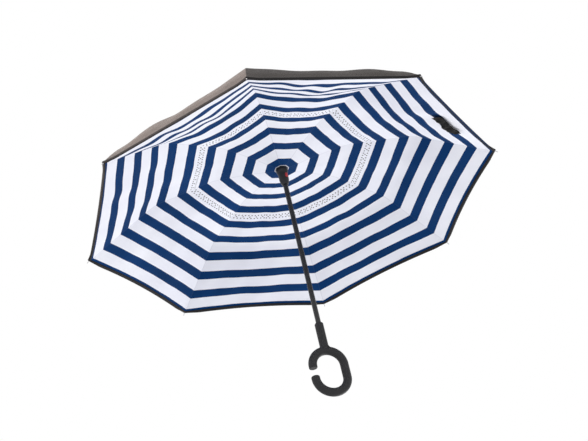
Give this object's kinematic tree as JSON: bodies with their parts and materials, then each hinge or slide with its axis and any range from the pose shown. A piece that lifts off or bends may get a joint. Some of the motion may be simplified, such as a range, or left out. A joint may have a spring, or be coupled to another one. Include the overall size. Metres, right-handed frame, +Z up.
{
  "type": "umbrella",
  "caption": "Inverted stick umbrella, open: octagonal double canopy, striped lining under a dark cover, ribs folding upward, sliding runner with latch button, open loop handle.",
  "frame": {"origin": "lowest point of the handle's loop, on the shaft's axis", "axes": "+Z up the shaft from the handle to the ferrule; +X in the plane of the handle's loop, away from its mouth; +Y completes the right-handed set"},
  "size_m": [0.9946, 0.9946, 0.7479],
  "materials": {
    "shaft": "gloss black enamel",
    "plastic": "black moulded plastic",
    "grip": "soft-touch black coating",
    "steel": "plain steel wire and channel",
    "rod": "black fibreglass",
    "tip": "pale grey plastic",
    "button": "red moulded plastic",
    "lining": "white and blue striped cloth",
    "cover": "black cloth",
    "strap": "black tape"
  },
  "bodies": {
    "shaft": {"shaft_tube": "shaft", "top_notch": "plastic", "notch_wire": "steel", "ferrule_cap": "plastic", "handle": "grip", "handle_pin": "steel"},
    "runner": {"runner": "plastic", "runner_wire": "steel", "button_spring": "steel"},
    "release_button": {"release_button": "button"},
    "upper_arm_1": {"upper_arm_1": "steel"},
    "lower_arm_1": {"lower_arm_1": "steel"},
    "outer_rib_1": {"outer_rib_1": "rod", "rib_tip_1": "tip", "lining_1": "lining", "cover_1": "cover"},
    "upper_arm_2": {"upper_arm_2": "steel"},
    "lower_arm_2": {"lower_arm_2": "steel"},
    "outer_rib_2": {"outer_rib_2": "rod", "rib_tip_2": "tip", "lining_2": "lining", "cover_2": "cover"},
    "upper_arm_3": {"upper_arm_3": "steel"},
    "lower_arm_3": {"lower_arm_3": "steel"},
    "outer_rib_3": {"outer_rib_3": "rod", "rib_tip_3": "tip", "lining_3": "lining", "cover_3": "cover"},
    "upper_arm_4": {"upper_arm_4": "steel"},
    "lower_arm_4": {"lower_arm_4": "steel"},
    "outer_rib_4": {"outer_rib_4": "rod", "rib_tip_4": "tip", "lining_4": "lining", "cover_4": "cover"},
    "upper_arm_5": {"upper_arm_5": "steel"},
    "lower_arm_5": {"lower_arm_5": "steel"},
    "outer_rib_5": {"outer_rib_5": "rod", "rib_tip_5": "tip", "lining_5": "lining", "cover_5": "cover"},
    "upper_arm_6": {"upper_arm_6": "steel"},
    "lower_arm_6": {"lower_arm_6": "steel"},
    "outer_rib_6": {"outer_rib_6": "rod", "rib_tip_6": "tip", "lining_6": "lining", "cover_6": "cover"},
    "upper_arm_7": {"upper_arm_7": "steel"},
    "lower_arm_7": {"lower_arm_7": "steel"},
    "outer_rib_7": {"outer_rib_7": "rod", "rib_tip_7": "tip", "lining_7": "lining", "cover_7": "cover"},
    "upper_arm_8": {"upper_arm_8": "steel"},
    "lower_arm_8": {"lower_arm_8": "steel"},
    "outer_rib_8": {"outer_rib_8": "rod", "rib_tip_8": "tip", "lining_8": "lining", "cover_8": "cover", "tie_strap": "strap"}
  },
  "joints": [
    {"name": "umbrella_fold", "type": "hinge", "parent": "shaft", "child": "upper_arm_1", "pos_m": [0.01109, 0.00459, 0.71934], "axis": [-0.3827, 0.9239, 0], "range_deg": [0, 79], "deforming": ["lining_1", "cover_1"]},
    {"name": "lower_arm_1_knee", "type": "hinge", "parent": "upper_arm_1", "child": "lower_arm_1", "pos_m": [0.21741, 0.09005, 0.69192], "axis": [0.3827, -0.9239, 0], "range_deg": [0, 158]},
    {"name": "outer_rib_1_flip", "type": "hinge", "parent": "lower_arm_1", "child": "outer_rib_1", "pos_m": [0.21997, 0.09111, 0.67755], "axis": [0.3827, -0.9239, 0], "range_deg": [0, 30]},
    {"name": "upper_arm_2_fold", "type": "hinge", "parent": "shaft", "child": "upper_arm_2", "pos_m": [0.00459, 0.01109, 0.71934], "axis": [-0.9239, 0.3827, 0], "range_deg": [0, 79], "deforming": ["lining_2", "cover_2"]},
    {"name": "lower_arm_2_knee", "type": "hinge", "parent": "upper_arm_2", "child": "lower_arm_2", "pos_m": [0.09005, 0.21741, 0.69192], "axis": [0.9239, -0.3827, 0], "range_deg": [0, 158]},
    {"name": "outer_rib_2_flip", "type": "hinge", "parent": "lower_arm_2", "child": "outer_rib_2", "pos_m": [0.09111, 0.21997, 0.67755], "axis": [0.9239, -0.3827, 0], "range_deg": [0, 30]},
    {"name": "upper_arm_3_fold", "type": "hinge", "parent": "shaft", "child": "upper_arm_3", "pos_m": [-0.00459, 0.01109, 0.71934], "axis": [-0.9239, -0.3827, 0], "range_deg": [0, 79], "deforming": ["lining_3", "cover_3"]},
    {"name": "lower_arm_3_knee", "type": "hinge", "parent": "upper_arm_3", "child": "lower_arm_3", "pos_m": [-0.09005, 0.21741, 0.69192], "axis": [0.9239, 0.3827, 0], "range_deg": [0, 158]},
    {"name": "outer_rib_3_flip", "type": "hinge", "parent": "lower_arm_3", "child": "outer_rib_3", "pos_m": [-0.09111, 0.21997, 0.67755], "axis": [0.9239, 0.3827, 0], "range_deg": [0, 30]},
    {"name": "upper_arm_4_fold", "type": "hinge", "parent": "shaft", "child": "upper_arm_4", "pos_m": [-0.01109, 0.00459, 0.71934], "axis": [-0.3827, -0.9239, 0], "range_deg": [0, 79], "deforming": ["lining_4", "cover_4"]},
    {"name": "lower_arm_4_knee", "type": "hinge", "parent": "upper_arm_4", "child": "lower_arm_4", "pos_m": [-0.21741, 0.09005, 0.69192], "axis": [0.3827, 0.9239, 0], "range_deg": [0, 158]},
    {"name": "outer_rib_4_flip", "type": "hinge", "parent": "lower_arm_4", "child": "outer_rib_4", "pos_m": [-0.21997, 0.09111, 0.67755], "axis": [0.3827, 0.9239, 0], "range_deg": [0, 30]},
    {"name": "upper_arm_5_fold", "type": "hinge", "parent": "shaft", "child": "upper_arm_5", "pos_m": [-0.01109, -0.00459, 0.71934], "axis": [0.3827, -0.9239, 0], "range_deg": [0, 79], "deforming": ["lining_5", "cover_5"]},
    {"name": "lower_arm_5_knee", "type": "hinge", "parent": "upper_arm_5", "child": "lower_arm_5", "pos_m": [-0.21741, -0.09005, 0.69192], "axis": [-0.3827, 0.9239, 0], "range_deg": [0, 158]},
    {"name": "outer_rib_5_flip", "type": "hinge", "parent": "lower_arm_5", "child": "outer_rib_5", "pos_m": [-0.21997, -0.09111, 0.67755], "axis": [-0.3827, 0.9239, 0], "range_deg": [0, 30]},
    {"name": "upper_arm_6_fold", "type": "hinge", "parent": "shaft", "child": "upper_arm_6", "pos_m": [-0.00459, -0.01109, 0.71934], "axis": [0.9239, -0.3827, 0], "range_deg": [0, 79], "deforming": ["lining_6", "cover_6"]},
    {"name": "lower_arm_6_knee", "type": "hinge", "parent": "upper_arm_6", "child": "lower_arm_6", "pos_m": [-0.09005, -0.21741, 0.69192], "axis": [-0.9239, 0.3827, 0], "range_deg": [0, 158]},
    {"name": "outer_rib_6_flip", "type": "hinge", "parent": "lower_arm_6", "child": "outer_rib_6", "pos_m": [-0.09111, -0.21997, 0.67755], "axis": [-0.9239, 0.3827, 0], "range_deg": [0, 30]},
    {"name": "upper_arm_7_fold", "type": "hinge", "parent": "shaft", "child": "upper_arm_7", "pos_m": [0.00459, -0.01109, 0.71934], "axis": [0.9239, 0.3827, 0], "range_deg": [0, 79], "deforming": ["lining_7", "cover_7"]},
    {"name": "lower_arm_7_knee", "type": "hinge", "parent": "upper_arm_7", "child": "lower_arm_7", "pos_m": [0.09005, -0.21741, 0.69192], "axis": [-0.9239, -0.3827, 0], "range_deg": [0, 158]},
    {"name": "outer_rib_7_flip", "type": "hinge", "parent": "lower_arm_7", "child": "outer_rib_7", "pos_m": [0.09111, -0.21997, 0.67755], "axis": [-0.9239, -0.3827, 0], "range_deg": [0, 30]},
    {"name": "upper_arm_8_fold", "type": "hinge", "parent": "shaft", "child": "upper_arm_8", "pos_m": [0.01109, -0.00459, 0.71934], "axis": [0.3827, 0.9239, 0], "range_deg": [0, 79], "deforming": ["lining_8", "cover_8", "tie_strap"]},
    {"name": "lower_arm_8_knee", "type": "hinge", "parent": "upper_arm_8", "child": "lower_arm_8", "pos_m": [0.21741, -0.09005, 0.69192], "axis": [-0.3827, -0.9239, 0], "range_deg": [0, 158]},
    {"name": "outer_rib_8_flip", "type": "hinge", "parent": "lower_arm_8", "child": "outer_rib_8", "pos_m": [0.21997, -0.09111, 0.67755], "axis": [-0.3827, -0.9239, 0], "range_deg": [0, 30]},
    {"name": "runner_pivot", "type": "hinge", "parent": "lower_arm_1", "child": "runner", "pos_m": [0.01109, 0.00459, 0.6645], "axis": [-0.3827, 0.9239, 0], "range_deg": [0, 79]},
    {"name": "button_press", "type": "slide", "parent": "runner", "child": "release_button", "axis": [-0.3827, 0.9239, 0], "range_m": [0, 0.002], "stiffness_N_per_m": 500, "springref_m": -0.002, "deforming": ["button_spring"]}
  ],
  "couplings": [
    {"joint": "lower_arm_1_knee", "follows": "umbrella_fold", "ratio": 2},
    {"joint": "outer_rib_1_flip", "follows": "umbrella_fold", "ratio": 0.37975},
    {"joint": "upper_arm_2_fold", "follows": "umbrella_fold", "ratio": 1},
    {"joint": "lower_arm_2_knee", "follows": "umbrella_fold", "ratio": 2},
    {"joint": "outer_rib_2_flip", "follows": "umbrella_fold", "ratio": 0.37975},
    {"joint": "upper_arm_3_fold", "follows": "umbrella_fold", "ratio": 1},
    {"joint": "lower_arm_3_knee", "follows": "umbrella_fold", "ratio": 2},
    {"joint": "outer_rib_3_flip", "follows": "umbrella_fold", "ratio": 0.37975},
    {"joint": "upper_arm_4_fold", "follows": "umbrella_fold", "ratio": 1},
    {"joint": "lower_arm_4_knee", "follows": "umbrella_fold", "ratio": 2},
    {"joint": "outer_rib_4_flip", "follows": "umbrella_fold", "ratio": 0.37975},
    {"joint": "upper_arm_5_fold", "follows": "umbrella_fold", "ratio": 1},
    {"joint": "lower_arm_5_knee", "follows": "umbrella_fold", "ratio": 2},
    {"joint": "outer_rib_5_flip", "follows": "umbrella_fold", "ratio": 0.37975},
    {"joint": "upper_arm_6_fold", "follows": "umbrella_fold", "ratio": 1},
    {"joint": "lower_arm_6_knee", "follows": "umbrella_fold", "ratio": 2},
    {"joint": "outer_rib_6_flip", "follows": "umbrella_fold", "ratio": 0.37975},
    {"joint": "upper_arm_7_fold", "follows": "umbrella_fold", "ratio": 1},
    {"joint": "lower_arm_7_knee", "follows": "umbrella_fold", "ratio": 2},
    {"joint": "outer_rib_7_flip", "follows": "umbrella_fold", "ratio": 0.37975},
    {"joint": "upper_arm_8_fold", "follows": "umbrella_fold", "ratio": 1},
    {"joint": "lower_arm_8_knee", "follows": "umbrella_fold", "ratio": 2},
    {"joint": "outer_rib_8_flip", "follows": "umbrella_fold", "ratio": 0.37975},
    {"joint": "runner_pivot", "follows": "umbrella_fold", "ratio": 1}
  ]
}
